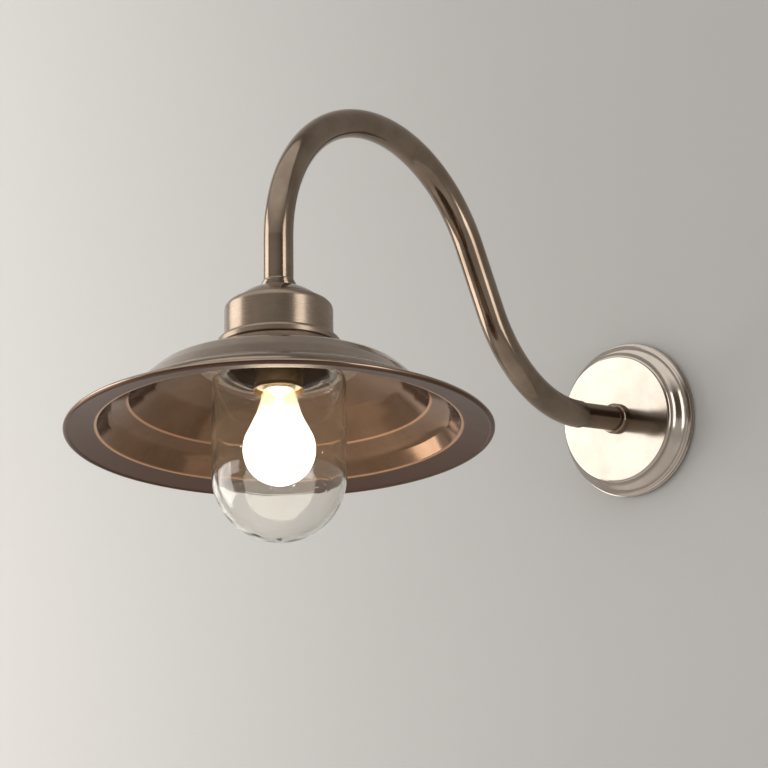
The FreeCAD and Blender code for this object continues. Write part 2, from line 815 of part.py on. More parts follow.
holder_top = seat + S.holder_rise
nipple_low = holder_top - S.nipple_grip
spun("hollow_nipple", (
    (S.nipple_bore, nipple_low), (S.nipple_radius, nipple_low),
    (S.nipple_radius, boss_top + S.nipple_top), (S.nipple_bore, boss_top + S.nipple_top),
), in_lamp_frame)
hex_nut("head_locknut", S.nut_flats, nipple_hole, S.nut_thick, plate_low - S.nut_thick, in_lamp_frame)
hex_nut("holder_locknut", S.nut_flats, nipple_hole, S.nut_thick, holder_top, in_lamp_frame)

# --- spun shade and the ring that clamps it -------------------------------------------------

contour = doc.addObject("Sketcher::SketchObject", "shade_contour")
contour.Placement = FreeCAD.Placement(FreeCAD.Vector(), FreeCAD.Rotation(FreeCAD.Vector(1, 0, 0), 90))
wall_mid = S.ridge_radius + (S.step_radius - S.ridge_radius) * 0.55
wall_mid_rise = S.ridge_height - (S.ridge_height - S.step_height) * 0.51
draw_outline(contour, [Corner(*c) for c in (
    (S.shade_hole, seat),
    (S.shade_seat, seat, 2.4),
    (S.crown_radius, S.crown_height, 30),
    (S.ridge_radius, S.ridge_height, 18),
    (wall_mid, wall_mid_rise, 40),
    (S.step_radius, S.step_height),
    (S.bowl_radius, S.bowl_height, 14),
    (S.brim_radius, S.brim_height),
    (S.rim_radius, S.rim_height),
)], closed=False)
sheet_metal = doc.addObject("Part::Offset2D", "shade_sheet_section")
sheet_metal.Source = contour
sheet_metal.Mode = "Skin"
sheet_metal.Join = "Arc"
sheet_metal.Fill = True
bind(sheet_metal, "Value", -S.shade_sheet)
spinning = doc.addObject("Part::Revolution", "shade_spinning")
spinning.Source = sheet_metal
spinning.Axis = FreeCAD.Vector(0, 0, 1)
spinning.Angle = 360
spinning.Solid = True
bead = solid("Part::Torus", "shade_bead", (0, 0, S.rim_bead), Radius1=S.rim_radius, Radius2=S.rim_bead)
keep("shade", joined("shade", [spinning, bead]), in_lamp_frame)

clamp_low = seat - S.clamp_drop - S.clamp_thick
clamp_hub = clamp_low + S.clamp_thick
crown_fall = (seat - S.crown_height) / (S.crown_radius - S.shade_seat)
sheet_drop = S.shade_sheet * root_of(1 + crown_fall * crown_fall)
lip_in = S.clamp_radius - 1.4
clamp_lip = seat - crown_fall * (S.clamp_radius - S.shade_seat) - sheet_drop - S.fit_gap * 2
spun("shade_clamp_ring", (
    (S.skirt_radius + S.fit_gap, clamp_low),
    (S.clamp_radius - 1.2, clamp_low),
    (S.clamp_radius, clamp_low + 1.2),
    (S.clamp_radius, clamp_lip),
    (lip_in, clamp_lip),
    (lip_in, clamp_low + S.clamp_web),
    (S.skirt_radius + 3.6, clamp_low + S.clamp_web),
    (S.skirt_radius + 3.6, clamp_hub),
    (S.skirt_radius + S.fit_gap, clamp_hub),
), in_lamp_frame)

# --- lampholder -----------------------------------------------------------------------------

cap_low = holder_top - S.cap_tall
lip = cap_low - S.shell_tall
holder = S.holder_radius
holder_in = holder - S.holder_sheet
spun("holder_cap", (
    (nipple_hole, holder_top),
    (nipple_hole, holder_top - 5.4),
    (7.4, holder_top - 5.6),
    (holder_in - 2.4, holder_top - 9.0),
    (holder_in, cap_low + 5.4),
    (holder_in, cap_low),
    (holder, cap_low),
    (holder, cap_low + 5.9, 2.0),
    (holder - 2.6, holder_top - 7.8, 3.0),
    (8.4, holder_top - 4.2, 1.0),
    (8.4, holder_top),
), in_lamp_frame)
spun("holder_shell", (
    (holder_in, cap_low), (holder_in, lip + 4.0), (holder + S.lip_flare - 0.6, lip),
    (holder + S.lip_flare, lip), (holder, lip + 3.4, 6.0), (holder, cap_low),
), in_lamp_frame)
insert_low = lip + S.insert_set
insert_top = insert_low + S.insert_tall
pocket_low = insert_low + S.insert_bore_deep
pocket_top = pocket_low + S.contact_pocket
screw_in = S.bulb_cap_radius + 3 * S.fit_gap
screw_out = screw_in + S.screw_sheet
spun("holder_insert", (
    (screw_out + S.fit_gap, insert_low),
    (holder_in - 2 * S.fit_gap, insert_low),
    (holder_in - 2 * S.fit_gap, insert_top),
    (0, insert_top),
    (0, pocket_top),
    (S.bulb_cap_radius - 3.4, pocket_top),
    (S.bulb_cap_radius - 3.4, pocket_low),
    (screw_out + S.fit_gap, pocket_low),
), in_lamp_frame)
spun("screw_shell", (
    (screw_in, insert_low + 0.4), (screw_out, insert_low + 0.4),
    (screw_out, pocket_low), (screw_in, pocket_low),
), in_lamp_frame)

bulb_base = lip
bulb_tip = bulb_base + S.bulb_cap_tall + S.insulator_tall + S.button_tall
spun("centre_contact", (
    (0, bulb_tip + S.fit_gap), (S.contact_radius, bulb_tip + S.fit_gap),
    (S.contact_radius, bulb_tip + S.fit_gap + 0.7), (1.8, bulb_tip + S.fit_gap + 0.7),
    (1.8, pocket_top), (0, pocket_top),
), in_lamp_frame)

# --- glass jar and its gasket ---------------------------------------------------------------

jar_shelf = skirt_low - 2 * S.fit_gap - S.jar_gasket_thick - S.seat_gap
jar_equator = jar_shelf - S.jar_straight
jar_tip = jar_equator - S.jar_radius
jar_top = jar_shelf + S.jar_neck_tall
jar_in = S.jar_radius - S.jar_wall
jar_neck_in = S.jar_neck - S.jar_wall
spun("glass_jar", (
    (0, jar_tip),
    (S.jar_radius, jar_equator, None, 90.0),
    (S.jar_radius, jar_shelf, S.jar_shoulder),
    (S.jar_neck, jar_shelf),
    (S.jar_neck, jar_top - 1.0),
    (S.jar_neck - 1.0, jar_top),
    (jar_neck_in + 1.0, jar_top),
    (jar_neck_in, jar_top - 1.0),
    (jar_neck_in, jar_shelf - S.jar_wall, 4.0),
    (jar_in, jar_shelf - S.jar_wall, S.jar_shoulder - S.jar_wall),
    (jar_in, jar_equator),
    (0, jar_tip + S.jar_wall, None, -90.0),
), in_lamp_frame)
spun("jar_gasket", (
    (S.jar_gasket_inner, jar_shelf + S.seat_gap),
    (S.jar_gasket_outer, jar_shelf + S.seat_gap),
    (S.jar_gasket_outer, jar_shelf + S.seat_gap + S.jar_gasket_thick),
    (S.jar_gasket_inner, jar_shelf + S.seat_gap + S.jar_gasket_thick),
), in_lamp_frame)

# --- bulb -----------------------------------------------------------------------------------

globe = S.globe_radius
globe_mid = bulb_base - S.globe_drop
glass = S.bulb_glass
inner_globe = globe - glass
cap_in = S.bulb_cap_radius - S.bulb_cap_sheet
tail = cap_in - S.fit_gap
neck_end = bulb_base - S.neck_drop
half_root = math.cos(math.radians(30))
shoulder = (globe.value * half_root, globe_mid.value + globe.value / 2)
lean_out = math.degrees(math.atan2(shoulder[0] - S.neck_radius.value, neck_end.value - shoulder[1]))
neck_turn = 2 * (30.0 - lean_out)
spun("bulb_envelope", (
    (0, globe_mid - globe),
    (globe * half_root, globe_mid + globe / 2, None, 120.0),
    (S.neck_radius, neck_end, None, -neck_turn),
    (tail, bulb_base),
    (tail, bulb_base + 4.0),
    (tail - glass, bulb_base + 4.0),
    (tail - glass, bulb_base),
    (S.neck_radius - glass, neck_end),
    (inner_globe * half_root, globe_mid + inner_globe / 2, None, neck_turn),
    (0, globe_mid - inner_globe, None, -120.0),
), in_lamp_frame)
cap_high = bulb_base + S.bulb_cap_tall
spun("bulb_cap", (
    (cap_in, bulb_base + S.fit_gap), (S.bulb_cap_radius, bulb_base + S.fit_gap),
    (S.bulb_cap_radius, cap_high - 1.0), (S.bulb_cap_radius - 1.0, cap_high),
    (cap_in - 2.6, cap_high),
    (cap_in - 2.6, cap_high - S.bulb_cap_sheet), (cap_in - 0.8, cap_high - S.bulb_cap_sheet),
    (cap_in, cap_high - 1.2),
), in_lamp_frame)
insulator_top = cap_high + S.insulator_tall
spun("bulb_insulator", (
    (0, cap_high), (cap_in - 2.8, cap_high), (S.button_radius + 1.2, insulator_top),
    (0, insulator_top)), in_lamp_frame)
spun("bulb_contact", (
    (0, insulator_top), (S.button_radius, insulator_top),
    (S.button_radius, bulb_tip, 0.9), (0, bulb_tip)), in_lamp_frame)
stem_top = bulb_base + 4.0
spun("bulb_stem", (
    (0, stem_top - S.stem_tall), (S.stem_radius, stem_top - S.stem_tall, 1.2),
    (S.stem_radius, stem_top - 9.0), (tail - glass - S.fit_gap, stem_top),
    (tail - glass - S.fit_gap, stem_top + 1.0), (0, stem_top + 1.0)), in_lamp_frame)
strands = []
for turn in range(4):
    angle = math.radians(90 * turn + 45)
    ring = S.stem_radius + S.filament_radius + S.seat_gap
    foot = stem_top - S.stem_tall - S.filament_tall * 0.55
    strands.append(rod(f"strand_{turn}", S.filament_radius, S.filament_tall,
                       (ring * math.cos(angle), ring * math.sin(angle), foot)))
keep("bulb_filaments", group("bulb_filaments", strands), in_lamp_frame)

# --- check and write ------------------------------------------------------------------------

doc.recompute()
faults = []
many = {"terminal_screws": len(terminal_screws), "core_wires": 3, "bulb_filaments": len(strands)}
for thing in doc.Objects:
    if {"Invalid", "Error"} & set(thing.State):
        faults.append(f"{thing.Label}: {thing.State}")
for node, thing in parts.items():
    shape = thing.Shape
    if shape.isNull() or not shape.isValid() or not shape.Solids:
        faults.append(f"{node}: no valid solid")
    elif len(shape.Solids) != many.get(node, 1):
        faults.append(f"{node}: {len(shape.Solids)} solids")
if wall_bracket.Shape.Volume >= before_holes - 100:
    faults.append("wall_bracket: the holes cut nothing")
for node, body, path, area in (
        ("swan_neck_arm", swan_neck, arm_path, S.arm_radius.value ** 2 - arm_bore.value ** 2),
        ("inner_flex", inner_flex, flex_path, S.flex_radius.value ** 2)):
    share = body.Shape.Volume / (math.pi * area * path.Shape.Length)
    print(f"{node}: {path.Shape.Length:.1f} mm long, volume share {share:.4f}")
    if abs(share - 1) > 0.01:
        faults.append(f"{node}: volume share {share:.4f}")
if faults:
    raise RuntimeError("; ".join(faults))

os.makedirs("parts", exist_ok=True)
for node, thing in parts.items():
    thing.Shape.exportStep(f"parts/{node}.step")
print(f"{len(parts)} nodes, lamp frame at y {lamp_y.value:.2f}, z {lamp_z.value:.2f}")
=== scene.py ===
"""Looks of a swan-neck wall light: finishes for its fixed solids and the studio."""

from __future__ import annotations

import json
import logging
import math
from dataclasses import dataclass, field
from enum import Enum
from typing import Any, Callable

import bpy
from mathutils import Matrix, Vector

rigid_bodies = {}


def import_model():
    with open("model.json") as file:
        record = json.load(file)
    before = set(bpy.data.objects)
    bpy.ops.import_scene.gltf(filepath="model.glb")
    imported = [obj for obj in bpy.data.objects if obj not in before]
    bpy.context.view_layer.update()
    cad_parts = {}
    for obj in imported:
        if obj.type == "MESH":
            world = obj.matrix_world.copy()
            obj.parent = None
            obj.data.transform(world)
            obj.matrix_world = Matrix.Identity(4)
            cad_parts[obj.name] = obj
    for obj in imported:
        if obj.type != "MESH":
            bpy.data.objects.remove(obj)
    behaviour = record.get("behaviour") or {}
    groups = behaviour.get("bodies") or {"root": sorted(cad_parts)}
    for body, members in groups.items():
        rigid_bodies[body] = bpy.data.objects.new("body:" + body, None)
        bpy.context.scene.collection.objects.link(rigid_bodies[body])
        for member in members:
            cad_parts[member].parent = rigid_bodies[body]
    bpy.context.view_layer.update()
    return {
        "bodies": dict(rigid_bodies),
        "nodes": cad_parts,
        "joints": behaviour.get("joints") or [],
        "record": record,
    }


log = logging.getLogger("wall_light")
Colour = tuple[float, float, float]

LEAN = math.radians(10.0)
LAMP_FOOT = Vector((0.0, -0.52368, -0.04890))
LAMP_UP = Vector((0.0, math.sin(LEAN), math.cos(LEAN)))


# --- shader arithmetic --------------------------------------------------------


class Value:
    """A shader socket on which arithmetic can be written."""

    def __init__(self, maker: "NodeMaker", socket: Any) -> None:
        """Keeps the socket and the maker that owns its tree."""
        self.maker = maker
        self.socket = socket

    def _math(self, operation: str, first: Any, second: Any) -> "Value":
        """Adds one Math node.

        Args:
            operation: the Math node's operation.
            first: a value or number for the first input.
            second: a value or number for the second input.

        Returns:
            The node's result.
        """
        return self.maker.node("ShaderNodeMath", {"operation": operation}, {0: first, 1: second})

    def __add__(self, other: Any) -> "Value":
        """Returns self + other."""
        return self._math("ADD", self, other)

    def __radd__(self, other: Any) -> "Value":
        """Returns other + self."""
        return self._math("ADD", other, self)

    def __sub__(self, other: Any) -> "Value":
        """Returns self - other."""
        return self._math("SUBTRACT", self, other)

    def __rsub__(self, other: Any) -> "Value":
        """Returns other - self."""
        return self._math("SUBTRACT", other, self)

    def __mul__(self, other: Any) -> "Value":
        """Returns self * other."""
        return self._math("MULTIPLY", self, other)

    def __rmul__(self, other: Any) -> "Value":
        """Returns other * self."""
        return self._math("MULTIPLY", other, self)

    def __truediv__(self, other: Any) -> "Value":
        """Returns self / other."""
        return self._math("DIVIDE", self, other)

    def __pow__(self, other: Any) -> "Value":
        """Returns self to the power of other."""
        return self._math("POWER", self, other)

    def sine(self) -> "Value":
        """Returns the sine of the value in radians."""
        return self.maker.node("ShaderNodeMath", {"operation": "SINE"}, {0: self})

    def ramp(self, low: float, high: float, out_low: float = 0.0, out_high: float = 1.0) -> "Value":
        """Maps a span to another with soft ends.

        Args:
            low: the value that gives out_low.
            high: the value that gives out_high.
            out_low: the result at and below low.
            out_high: the result at and above high.

        Returns:
            The mapped value.
        """
        inputs = {"Value": self, "From Min": low, "From Max": high, "To Min": out_low, "To Max": out_high}
        return self.maker.node("ShaderNodeMapRange", {"interpolation_type": "SMOOTHSTEP"}, inputs)


class NodeMaker:
    """Builds the node tree of one material."""

    def __init__(self, tree: bpy.types.NodeTree) -> None:
        """Keeps the tree."""
        self.tree = tree

    def node(self, kind: str, settings: dict[str, Any], inputs: dict[Any, Any], output: Any = None) -> Value:
        """Adds a node.

        Args:
            kind: the node's type.
            settings: properties of the node, set first.
            inputs: socket name or index to a value, a number or a colour.
            output: the name or index of the output wanted, or None for the first live one.

        Returns:
            The chosen output.
        """
        made = self.tree.nodes.new(kind)
        for name, setting in settings.items():
            setattr(made, name, setting)
        for key, given in inputs.items():
            socket = made.inputs[key]
            if isinstance(given, Value):
                self.tree.links.new(given.socket, socket)
            else:
                socket.default_value = given
        if output is None:
            found = next(s for s in made.outputs if s.enabled)
        else:
            found = made.outputs[output]
        return Value(self, found)

    def mix(self, share: Any, first: Any, second: Any) -> Value:
        """Mixes two colours.

        Args:
            share: how much of the second colour shows.
            first: a colour or colour value.
            second: a colour or colour value.

        Returns:
            The mixed colour.
        """
        made = self.tree.nodes.new("ShaderNodeMix")
        made.data_type = "RGBA"
        sockets = {s.identifier: s for s in made.inputs}
        for key, given in (("Factor_Float", share), ("A_Color", first), ("B_Color", second)):
            if isinstance(given, Value):
                self.tree.links.new(given.socket, sockets[key])
            elif key == "Factor_Float":
                sockets[key].default_value = given
            else:
                sockets[key].default_value = (*given, 1.0)
        return Value(self, next(s for s in made.outputs if s.identifier == "Result_Color"))

    def place(self) -> Value:
        """Returns the object coordinates."""
        return self.node("ShaderNodeTexCoord", {}, {}, "Object")

    def split(self, vector: Value) -> tuple[Value, Value, Value]:
        """Returns the x, y and z of a vector."""
        made = self.tree.nodes.new("ShaderNodeSeparateXYZ")
        self.tree.links.new(vector.socket, made.inputs[0])
        return tuple(Value(self, made.outputs[i]) for i in range(3))

    def noise(self, scale: float, detail: float = 3.0, stretch: Colour = (1.0, 1.0, 1.0)) -> Value:
        """Adds noise on the object coordinates.

        Args:
            scale: waves per metre.
            detail: octaves.
            stretch: how much finer the noise is along each axis.

        Returns:
            The noise from 0 to 1.
        """
        spread = self.node("ShaderNodeMapping", {}, {"Vector": self.place(), "Scale": stretch})
        inputs = {"Vector": spread, "Scale": scale, "Detail": detail, "Roughness": 0.6}
        return self.node("ShaderNodeTexNoise", {}, inputs, 0)

    def lamp_place(self) -> tuple[Value, Value]:
        """Returns the radius from the lamp's axis and the height along it, in metres."""
        x, y, z = self.split(self.place())
        out = y - LAMP_FOOT.y
        rise = z - LAMP_FOOT.z
        across = out * math.cos(LEAN) - rise * math.sin(LEAN)
        height = out * math.sin(LEAN) + rise * math.cos(LEAN)
        radius = (x * x + across * across) ** 0.5
        return radius, height

    def wall_place(self) -> tuple[Value, Value]:
        """Returns the radius from the rose's axis and the distance from the wall, in metres."""
        x, y, z = self.split(self.place())
        return (x * x + z * z) ** 0.5, y * -1.0

    def bump(self, height: Value, strength: float, distance: float) -> Value:
        """Returns a normal bent by a height.

        Args:
            height: the height map.
            strength: the share of the effect.
            distance: the depth in metres.

        Returns:
            The normal.
        """
        inputs = {"Height": height, "Strength": strength, "Distance": distance}
        return self.node("ShaderNodeBump", {}, inputs)


def new_material(name: str) -> tuple[bpy.types.Material, NodeMaker, bpy.types.Node]:
    """Makes an empty material with a Principled shader.

    Args:
        name: the material's name.

    Returns:
        The material, the maker of its nodes and the shader.
    """
    material = bpy.data.materials.new(name)
    material.use_nodes = True
    tree = material.node_tree
    tree.nodes.clear()
    shader = tree.nodes.new("ShaderNodeBsdfPrincipled")
    output = tree.nodes.new("ShaderNodeOutputMaterial")
    tree.links.new(shader.outputs[0], output.inputs[0])
    return material, NodeMaker(tree), shader


def feed(maker: NodeMaker, shader: bpy.types.Node, **inputs: Any) -> None:
    """Sets or links the shader's sockets.

    Args:
        maker: the maker of the tree.
        shader: the shader node.
        inputs: socket names with underscores for spaces, and their values.
    """
    for name, given in inputs.items():
        socket = shader.inputs[name.replace("_", " ")]
        if isinstance(given, Value):
            maker.tree.links.new(given.socket, socket)
        elif isinstance(given, tuple) and len(given) == 3:
            socket.default_value = (*given, 1.0)
        else:
            socket.default_value = given


# --- finishes -----------------------------------------------------------------


class Turning(Enum):
    """Which axis a piece was turned about, for its tool marks."""

    NONE = "none"
    LAMP = "lamp"
    ROSE = "rose"


@dataclass(frozen=True)
class AgedNickel:
    """Polished nickel that has darkened with age."""

    name: str
    bright: Colour = (0.27, 0.21, 0.16)
    dull: Colour = (0.20, 0.152, 0.112)
    roughness: float = 0.10
    turning: Turning = Turning.NONE
    marks: float = 0.0
    ripple: float = 1.0

    def build(self) -> bpy.types.Material:
        """Returns the material."""
        material, make, shader = new_material(self.name)
        cloud = make.noise(24.0, 4.0)
        fine = make.noise(420.0, 2.0)
        speck = make.noise(240.0, 5.0).ramp(0.64, 0.80)
        colour = make.mix(cloud.ramp(0.3, 0.72), self.bright, self.dull)
        colour = make.mix(speck * 0.35, colour, tuple(c * 0.6 for c in self.dull))
        rough = self.roughness + cloud * 0.05 + speck * 0.08
        height = fine * 0.03 + cloud * 0.6
        if self.turning is not Turning.NONE:
            radius, along = make.lamp_place() if self.turning is Turning.LAMP else make.wall_place()
            lines = self.rings(make, along, 2600.0) + self.rings(make, radius, 2200.0)
            rough = rough + lines * self.marks
            colour = make.mix(lines * self.marks, colour, tuple(c * 0.7 for c in self.dull))
            height = height + lines * 0.012
        bent = make.bump(height, 0.10 * self.ripple, 0.001)
        feed(make, shader, Base_Color=colour, Metallic=1.0, Roughness=rough, Normal=bent)
        return material

    @staticmethod
    def rings(make: NodeMaker, along: Value, scale: float) -> Value:
        """Returns fine uneven rings along a length.

        Args:
            make: the maker of the nodes.
            along: the length in metres.
            scale: rings per metre.

        Returns:
            The rings from 0 to 1.
        """
        spot = make.node("ShaderNodeCombineXYZ", {}, {"X": along})
        inputs = {"Vector": spot, "Scale": scale, "Detail": 2.0}
        return make.node("ShaderNodeTexNoise", {}, inputs, 0).ramp(0.35, 0.65)


@dataclass(frozen=True)
class ShadeMetal:
    """The spun shade: aged nickel outside; its underside is a darker, warmer copy as painted shade with a
    painted warm reflection of the bulb, darker still at the outer flange, with painted highlight lines on the
    two steps and worn spots.
    """

    name: str
    outside: Colour = (0.32, 0.25, 0.195)
    # Underside, outer flange and step-line colours: painted shade and painted highlight.
    underside_painted_shade: Colour = (0.25, 0.148, 0.088)
    brim_painted_shade: Colour = (0.12, 0.068, 0.047)
    edge_painted_highlight: Colour = (0.80, 0.44, 0.25)

    def build(self) -> bpy.types.Material:
        """Returns the material."""
        material, make, shader = new_material(self.name)
        radius, height = make.lamp_place()
        normal = make.node("ShaderNodeTexCoord", {}, {}, "Normal")
        _, face_y, face_z = make.split(normal)
        faces_up = face_y * math.sin(LEAN) + face_z * math.cos(LEAN)
        # The downward-facing side is painted as a darker, warmer copy of the same nickel: painted shade with a
        # painted warm reflection of the bulb.
        under = faces_up.ramp(-0.05, -0.2)
        cloud = make.noise(30.0, 4.0)
        spots = make.noise(210.0, 5.0).ramp(0.66, 0.74)
        # Painted shade: the outer flange's underside is painted darker still.
        brim_painted_shade = radius.ramp(0.1495, 0.1515)
        inner_painted_light = make.mix(cloud.ramp(0.3, 0.75), self.underside_painted_shade, tuple(c * 0.78 for c in self.underside_painted_shade))
        # Painted highlights: bright copper lines along the two steps of the shade.
        rim_painted_highlight = radius.ramp(0.1485, 0.1498) * radius.ramp(0.1522, 0.1506)
        step_painted_highlight = radius.ramp(0.1228, 0.1238) * radius.ramp(0.1258, 0.1246)
        inner_painted_light = make.mix((rim_painted_highlight + step_painted_highlight) * 0.7, inner_painted_light, self.edge_painted_highlight)
        inner_painted_light = make.mix(brim_painted_shade * (1.0 - rim_painted_highlight), inner_painted_light, self.brim_painted_shade)
        inner_painted_light = make.mix(spots * 0.5, inner_painted_light, tuple(c * 0.4 for c in self.underside_painted_shade))
        outer = make.mix(cloud.ramp(0.3, 0.72), self.outside, tuple(c * 0.8 for c in self.outside))
        colour = make.mix(under, outer, inner_painted_light)
        rough = 0.10 + cloud * 0.06 + spots * 0.12 + under * brim_painted_shade * 0.22
        lines = AgedNickel.rings(make, radius, 1100.0)
        bent = make.bump(cloud * 0.8 + lines * 0.03, 0.12, 0.001)
        feed(make, shader, Base_Color=colour, Metallic=1.0, Roughness=rough, Normal=bent)
        return material


@dataclass(frozen=True)
class PlainFinish:
    """A simple finish with soft unevenness in colour, gloss and surface."""

    name: str
    colour: Colour
    metallic: float = 0.0
    roughness: float = 0.4
    variation: float = 0.25
    scale: float = 120.0
    relief: float = 0.0003

    def build(self) -> bpy.types.Material:
        """Returns the material."""
        material, make, shader = new_material(self.name)
        cloud = make.noise(self.scale, 4.0)
        dark = tuple(c * (1.0 - self.variation) for c in self.colour)
        colour = make.mix(cloud.ramp(0.35, 0.7), self.colour, dark)
        rough = self.roughness + cloud * 0.1
        bent = make.bump(make.noise(self.scale * 6.0), 0.2, self.relief)
        feed(make, shader, Base_Color=colour, Metallic=self.metallic, Roughness=rough, Normal=bent)
        return material


@dataclass(frozen=True)
class ClearGlass:
    """Clear pressed glass with slow waves and small seeds."""

    name: str
    tint: Colour = (0.99, 0.985, 0.96)
    waves: float = 0.25
    film: float = 0.016

    def build(self) -> bpy.types.Material:
        """Returns the material."""
        material, make, shader = new_material(self.name)
        slow = make.noise(22.0, 2.0)
        seeds = make.noise(260.0, 2.0).ramp(0.70, 0.76)
        bent = make.bump(slow + seeds * 0.15, self.waves, 0.004)
        feed(make, shader, Base_Color=self.tint, Roughness=0.01, Transmission_Weight=1.0, IOR=1.47, Normal=bent)
        dust = make.noise(46.0, 5.0).ramp(0.3, 0.8, 0.6, 1.5) * self.film
        hold = make.node("ShaderNodeBsdfTranslucent", {}, {"Color": (0.92, 0.86, 0.76, 1.0)})
        catch = make.node("ShaderNodeBsdfDiffuse", {}, {"Color": (0.92, 0.86, 0.76, 1.0)})
        haze = make.node("ShaderNodeMixShader", {}, {0: 0.5, 1: hold, 2: catch})
        seen = make.node("ShaderNodeMixShader", {}, {0: dust, 1: Value(make, shader.outputs[0]), 2: haze})
        output = next(n for n in make.tree.nodes if n.type == "OUTPUT_MATERIAL")
        make.tree.links.new(seen.socket, output.inputs[0])
        return material


@dataclass(frozen=True)
class LitBulb:
    """A bulb's glass glowing from within, brightest over the filaments."""

    name: str
    core: Colour = (1.0, 0.93, 0.80)
    rim: Colour = (1.0, 0.70, 0.36)
    power: float = 2.6
    fade: tuple[float, float] = (-0.004, 0.034)
    clear: float = 0.22

    def build(self) -> bpy.types.Material:
        """Returns the material."""
        material, make, shader = new_material(self.name)
        _, height = make.lamp_place()
        near_cap = height.ramp(self.fade[0], self.fade[1])
        glow = make.mix(near_cap, self.core, tuple(c * 0.13 for c in self.rim))
        see = near_cap.ramp(0.0, 1.0, 1.0, self.clear)
        feed(make, shader, Base_Color=(0.9, 0.86, 0.78), Roughness=0.08, Alpha=see)
        feed(make, shader, Emission_Color=glow, Emission_Strength=self.power)
        return material


FINISHES: dict[str, Any] = {
    "aged_nickel": AgedNickel("aged_nickel"),
    # The rose wears a much lighter copy of the aged nickel: painted light standing in for the bright reflection
    # on its face.
    "rose_nickel_painted_light": AgedNickel("rose_nickel_painted_light", bright=(0.54, 0.48, 0.42), dull=(0.46, 0.40, 0.345),
                              roughness=0.08, turning=Turning.ROSE, marks=0.05, ripple=0.5),
    "turned_nickel": AgedNickel("turned_nickel", bright=(0.33, 0.265, 0.205), dull=(0.25, 0.195, 0.148),
                                roughness=0.15, turning=Turning.LAMP, marks=0.14),
    "shade_metal": ShadeMetal("shade_metal"),
    "zinc_steel": PlainFinish("zinc_steel", (0.62, 0.62, 0.60), metallic=1.0, roughness=0.35),
    "gold_metal": PlainFinish("gold_metal", (0.50, 0.33, 0.16), metallic=1.0, roughness=0.28, variation=0.3),
    "bright_brass": PlainFinish("bright_brass", (0.80, 0.62, 0.32), metallic=1.0, roughness=0.25),
    "black_rubber": PlainFinish("black_rubber", (0.03, 0.03, 0.03), roughness=0.7),
    "glazed_white": PlainFinish("glazed_white", (0.86, 0.83, 0.77), roughness=0.2, variation=0.06),
    "white_sheath": PlainFinish("white_sheath", (0.80, 0.80, 0.77), roughness=0.45, variation=0.08),
    "core_sheath": PlainFinish("core_sheath", (0.45, 0.16, 0.07), roughness=0.4, variation=0.1),
    "black_glass": PlainFinish("black_glass", (0.02, 0.02, 0.025), roughness=0.08, variation=0.1),
    "clamp_nickel": PlainFinish("clamp_nickel", (0.62, 0.52, 0.40), metallic=1.0, roughness=0.3),
    "clear_glass": ClearGlass("clear_glass"),
    # The bulb's glass stem glows on its own: painted light from the filaments.
    "stem_glass": LitBulb("stem_glass", core=(1.0, 0.86, 0.62), rim=(1.0, 0.80, 0.50), power=7.0, clear=1.0),
    "lit_bulb": LitBulb("lit_bulb"),
    "glowing_strand": LitBulb("glowing_strand", core=(1.0, 0.8, 0.5), power=8.0, clear=1.0),
}

WEARS: dict[str, str] = {
    "wall_bracket": "zinc_steel", "stub_washer": "zinc_steel", "stub_front_nut": "zinc_steel",
    "stub_rear_nut": "zinc_steel", "wall_gasket": "black_rubber", "rose_cover": "rose_nickel_painted_light",
    "rose_lock_ring": "aged_nickel", "arm_stub": "aged_nickel", "terminal_block": "white_sheath",
    "terminal_screws": "bright_brass", "earth_screw": "bright_brass", "earth_nut": "bright_brass",
    "swan_neck_arm": "aged_nickel", "inner_flex": "white_sheath", "core_wires": "core_sheath",
    "head_body": "turned_nickel", "shade_gasket": "black_rubber", "dome_cap": "aged_nickel",
    "head_collar": "aged_nickel", "arm_end_bush": "bright_brass", "hollow_nipple": "zinc_steel",
    "head_locknut": "zinc_steel", "holder_locknut": "zinc_steel", "shade": "shade_metal",
    "shade_clamp_ring": "clamp_nickel", "holder_cap": "gold_metal", "holder_shell": "gold_metal",
    "holder_insert": "glazed_white", "screw_shell": "bright_brass", "centre_contact": "bright_brass",
    "glass_jar": "clear_glass", "jar_gasket": "black_rubber", "bulb_envelope": "lit_bulb",
    "bulb_cap": "zinc_steel", "bulb_insulator": "black_glass", "bulb_contact": "zinc_steel",
    "bulb_stem": "stem_glass", "bulb_filaments": "glowing_strand",
}


# --- sub-assemblies -----------------------------------------------------------


def deselect_all() -> None:
    """Clears the selection in object mode."""
    if bpy.context.object and bpy.context.object.mode != "OBJECT":
        bpy.ops.object.mode_set(mode="OBJECT")
    bpy.ops.object.select_all(action="DESELECT")


def dress(piece: bpy.types.Object, material: bpy.types.Material) -> None:
    """Puts one material on a piece.

    Args:
        piece: the mesh object.
        material: its finish.
    """
    if not piece.material_slots:
        piece.data.materials.append(material)
    for slot in piece.material_slots:
        slot.material = material


@dataclass
class SubAssembly:
    """A named group of the light's fixed solids."""

    name: str
    nodes: tuple[str, ...]
    body: str = "fixture"

    def dress_nodes(self, frame: dict[str, Any], wardrobe: dict[str, bpy.types.Material]) -> None:
        """Gives each solid its finish.

        Args:
            frame: the loaded frame.
            wardrobe: finish name to material.
        """
        for node in self.nodes:
            dress(frame["nodes"][node], wardrobe[WEARS[node]])
            log.info("%s: %s wears %s", self.name, node, WEARS[node])

    def build_pieces(self, wardrobe: dict[str, bpy.types.Material]) -> None:
        """Builds no pieces; it does nothing.

        Args:
            wardrobe: finish name to material; not used.
        """


# --- studio -------------------------------------------------------------------


